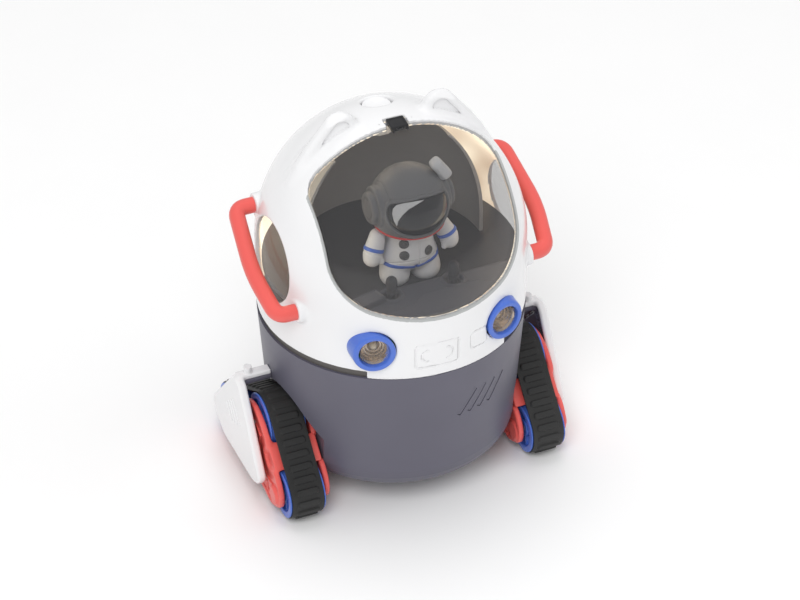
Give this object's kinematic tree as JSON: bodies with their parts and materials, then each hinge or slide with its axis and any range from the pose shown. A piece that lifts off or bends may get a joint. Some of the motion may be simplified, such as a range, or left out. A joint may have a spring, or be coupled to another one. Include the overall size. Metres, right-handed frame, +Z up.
{
  "type": "tracked capsule robot toy",
  "caption": "Capsule-shaped robot on triangular rubber tracks, with a hinged smoked canopy over an astronaut figure, red handles and round lamps.",
  "frame": {"origin": "on the ground, under the centre of the capsule", "axes": "+Z up, the front faces -Y, +X is the right-hand side seen from the front"},
  "size_m": [0.176, 0.14, 0.212],
  "materials": {
    "white_plastic": "glossy",
    "slate_plastic": "satin",
    "dark_plastic": "satin",
    "smoked_window": "glossy",
    "side_window": "glossy",
    "red_plastic": "satin",
    "blue_plastic": "glossy",
    "lamp_lens": "glossy",
    "reflector": "polished",
    "led": "glossy",
    "steel": "satin",
    "brass": "satin",
    "track_rubber": "matt",
    "battery_wrap": "satin",
    "board_laminate": "satin",
    "suit_vinyl": "satin",
    "collar_red": "satin",
    "helmet_grey": "satin",
    "visor_black": "glossy",
    "light_grey": "satin"
  },
  "bodies": {
    "body": {"hull_shell": "slate_plastic", "chassis": "dark_plastic", "seam_ring": "dark_plastic", "dome_shell": "white_plastic", "canopy_hinge_pin": "steel", "left_porthole": "side_window", "right_porthole": "side_window", "left_handle": "red_plastic", "right_handle": "red_plastic", "left_lamp_bezel": "blue_plastic", "right_lamp_bezel": "blue_plastic", "left_lamp_lens": "lamp_lens", "right_lamp_lens": "lamp_lens", "left_lamp_reflector": "reflector", "right_lamp_reflector": "reflector", "lamp_leds": "led", "cabin_floor": "dark_plastic", "cabin_liner": "dark_plastic", "console": "slate_plastic", "astronaut_body": "suit_vinyl", "astronaut_collar": "collar_red", "left_track_belt": "track_rubber", "right_track_belt": "track_rubber", "left_axles": "steel", "right_axles": "steel", "left_outer_frame": "red_plastic", "right_outer_frame": "red_plastic", "left_inner_frame": "red_plastic", "right_inner_frame": "red_plastic", "left_leg_cover": "white_plastic", "right_leg_cover": "white_plastic", "left_leg_arm": "slate_plastic", "right_leg_arm": "slate_plastic", "left_motor": "steel", "right_motor": "steel", "battery_pack": "battery_wrap", "battery_door": "slate_plastic", "door_screws": "steel", "circuit_board": "board_laminate", "speaker": "dark_plastic"},
    "canopy": {"canopy_window": "smoked_window"},
    "button": {"top_button": "white_plastic"},
    "left_stick": {"left_joystick": "dark_plastic"},
    "right_stick": {"right_joystick": "dark_plastic"},
    "astronaut_head": {"astronaut_helmet": "helmet_grey", "helmet_visor": "visor_black", "helmet_camera": "light_grey"},
    "astronaut_left_arm_body": {"astronaut_left_arm": "suit_vinyl"},
    "astronaut_right_arm_body": {"astronaut_right_arm": "suit_vinyl"},
    "switch": {"power_switch": "red_plastic"},
    "left_drive": {"left_drive_wheel": "blue_plastic", "left_drive_shaft": "steel"},
    "left_front": {"left_front_wheel": "blue_plastic"},
    "left_rear": {"left_rear_wheel": "blue_plastic"},
    "left_pinion": {"left_motor_pinion": "brass"},
    "right_drive": {"right_drive_wheel": "blue_plastic", "right_drive_shaft": "steel"},
    "right_front": {"right_front_wheel": "blue_plastic"},
    "right_rear": {"right_rear_wheel": "blue_plastic"},
    "right_pinion": {"right_motor_pinion": "brass"}
  },
  "joints": [
    {"name": "canopy_hinge", "type": "hinge", "parent": "body", "child": "canopy", "pos_m": [0, -0.006, 0.2042], "axis": [-1, 0, 0], "range_deg": [0, 65]},
    {"name": "button_press", "type": "slide", "parent": "body", "child": "button", "axis": [0, 0, -1], "range_m": [0, 0.0015], "stiffness_N_per_m": 300},
    {"name": "astronaut_head_turn", "type": "hinge", "parent": "body", "child": "astronaut_head", "pos_m": [0, -0.023, 0.167], "axis": [0, 0, 1], "range_deg": [-30, 30]},
    {"name": "power_slide", "type": "slide", "parent": "body", "child": "switch", "axis": [1, 0, 0], "range_m": [-0.0025, 0.0025]},
    {"name": "left_stick_tilt", "type": "hinge", "parent": "body", "child": "left_stick", "pos_m": [-0.017, -0.041, 0.121], "axis": [1, 0, 0], "range_deg": [-12, 12], "stiffness_Nm_per_rad": 0.02},
    {"name": "left_arm_swing", "type": "hinge", "parent": "body", "child": "astronaut_left_arm_body", "pos_m": [-0.017, -0.023, 0.1505], "axis": [-1, 0, 0], "range_deg": [-35, 75]},
    {"name": "left_drive_spin", "type": "hinge", "parent": "body", "child": "left_drive", "pos_m": [-0.0685, -0.011, 0.042], "axis": [1, 0, 0], "continuous": true},
    {"name": "left_front_spin", "type": "hinge", "parent": "body", "child": "left_front", "pos_m": [-0.0685, -0.039, 0.015], "axis": [1, 0, 0], "continuous": true},
    {"name": "left_rear_spin", "type": "hinge", "parent": "body", "child": "left_rear", "pos_m": [-0.0685, 0.039, 0.015], "axis": [1, 0, 0], "continuous": true},
    {"name": "left_pinion_spin", "type": "hinge", "parent": "body", "child": "left_pinion", "pos_m": [-0.048, 0.00057, 0.05579], "axis": [1, 0, 0], "continuous": true},
    {"name": "right_stick_tilt", "type": "hinge", "parent": "body", "child": "right_stick", "pos_m": [0.017, -0.041, 0.121], "axis": [1, 0, 0], "range_deg": [-12, 12], "stiffness_Nm_per_rad": 0.02},
    {"name": "right_arm_swing", "type": "hinge", "parent": "body", "child": "astronaut_right_arm_body", "pos_m": [0.017, -0.023, 0.1505], "axis": [-1, 0, 0], "range_deg": [-35, 75]},
    {"name": "right_drive_spin", "type": "hinge", "parent": "body", "child": "right_drive", "pos_m": [0.0685, -0.011, 0.042], "axis": [1, 0, 0], "continuous": true},
    {"name": "right_front_spin", "type": "hinge", "parent": "body", "child": "right_front", "pos_m": [0.0685, -0.039, 0.015], "axis": [1, 0, 0], "continuous": true},
    {"name": "right_rear_spin", "type": "hinge", "parent": "body", "child": "right_rear", "pos_m": [0.0685, 0.039, 0.015], "axis": [1, 0, 0], "continuous": true},
    {"name": "right_pinion_spin", "type": "hinge", "parent": "body", "child": "right_pinion", "pos_m": [0.048, 0.00057, 0.05579], "axis": [1, 0, 0], "continuous": true}
  ],
  "couplings": [
    {"joint": "left_front_spin", "follows": "left_drive_spin", "ratio": 1.1429},
    {"joint": "left_rear_spin", "follows": "left_drive_spin", "ratio": 1.1429},
    {"joint": "left_pinion_spin", "follows": "left_drive_spin", "ratio": -2},
    {"joint": "right_front_spin", "follows": "right_drive_spin", "ratio": 1.1429},
    {"joint": "right_rear_spin", "follows": "right_drive_spin", "ratio": 1.1429},
    {"joint": "right_pinion_spin", "follows": "right_drive_spin", "ratio": -2}
  ]
}
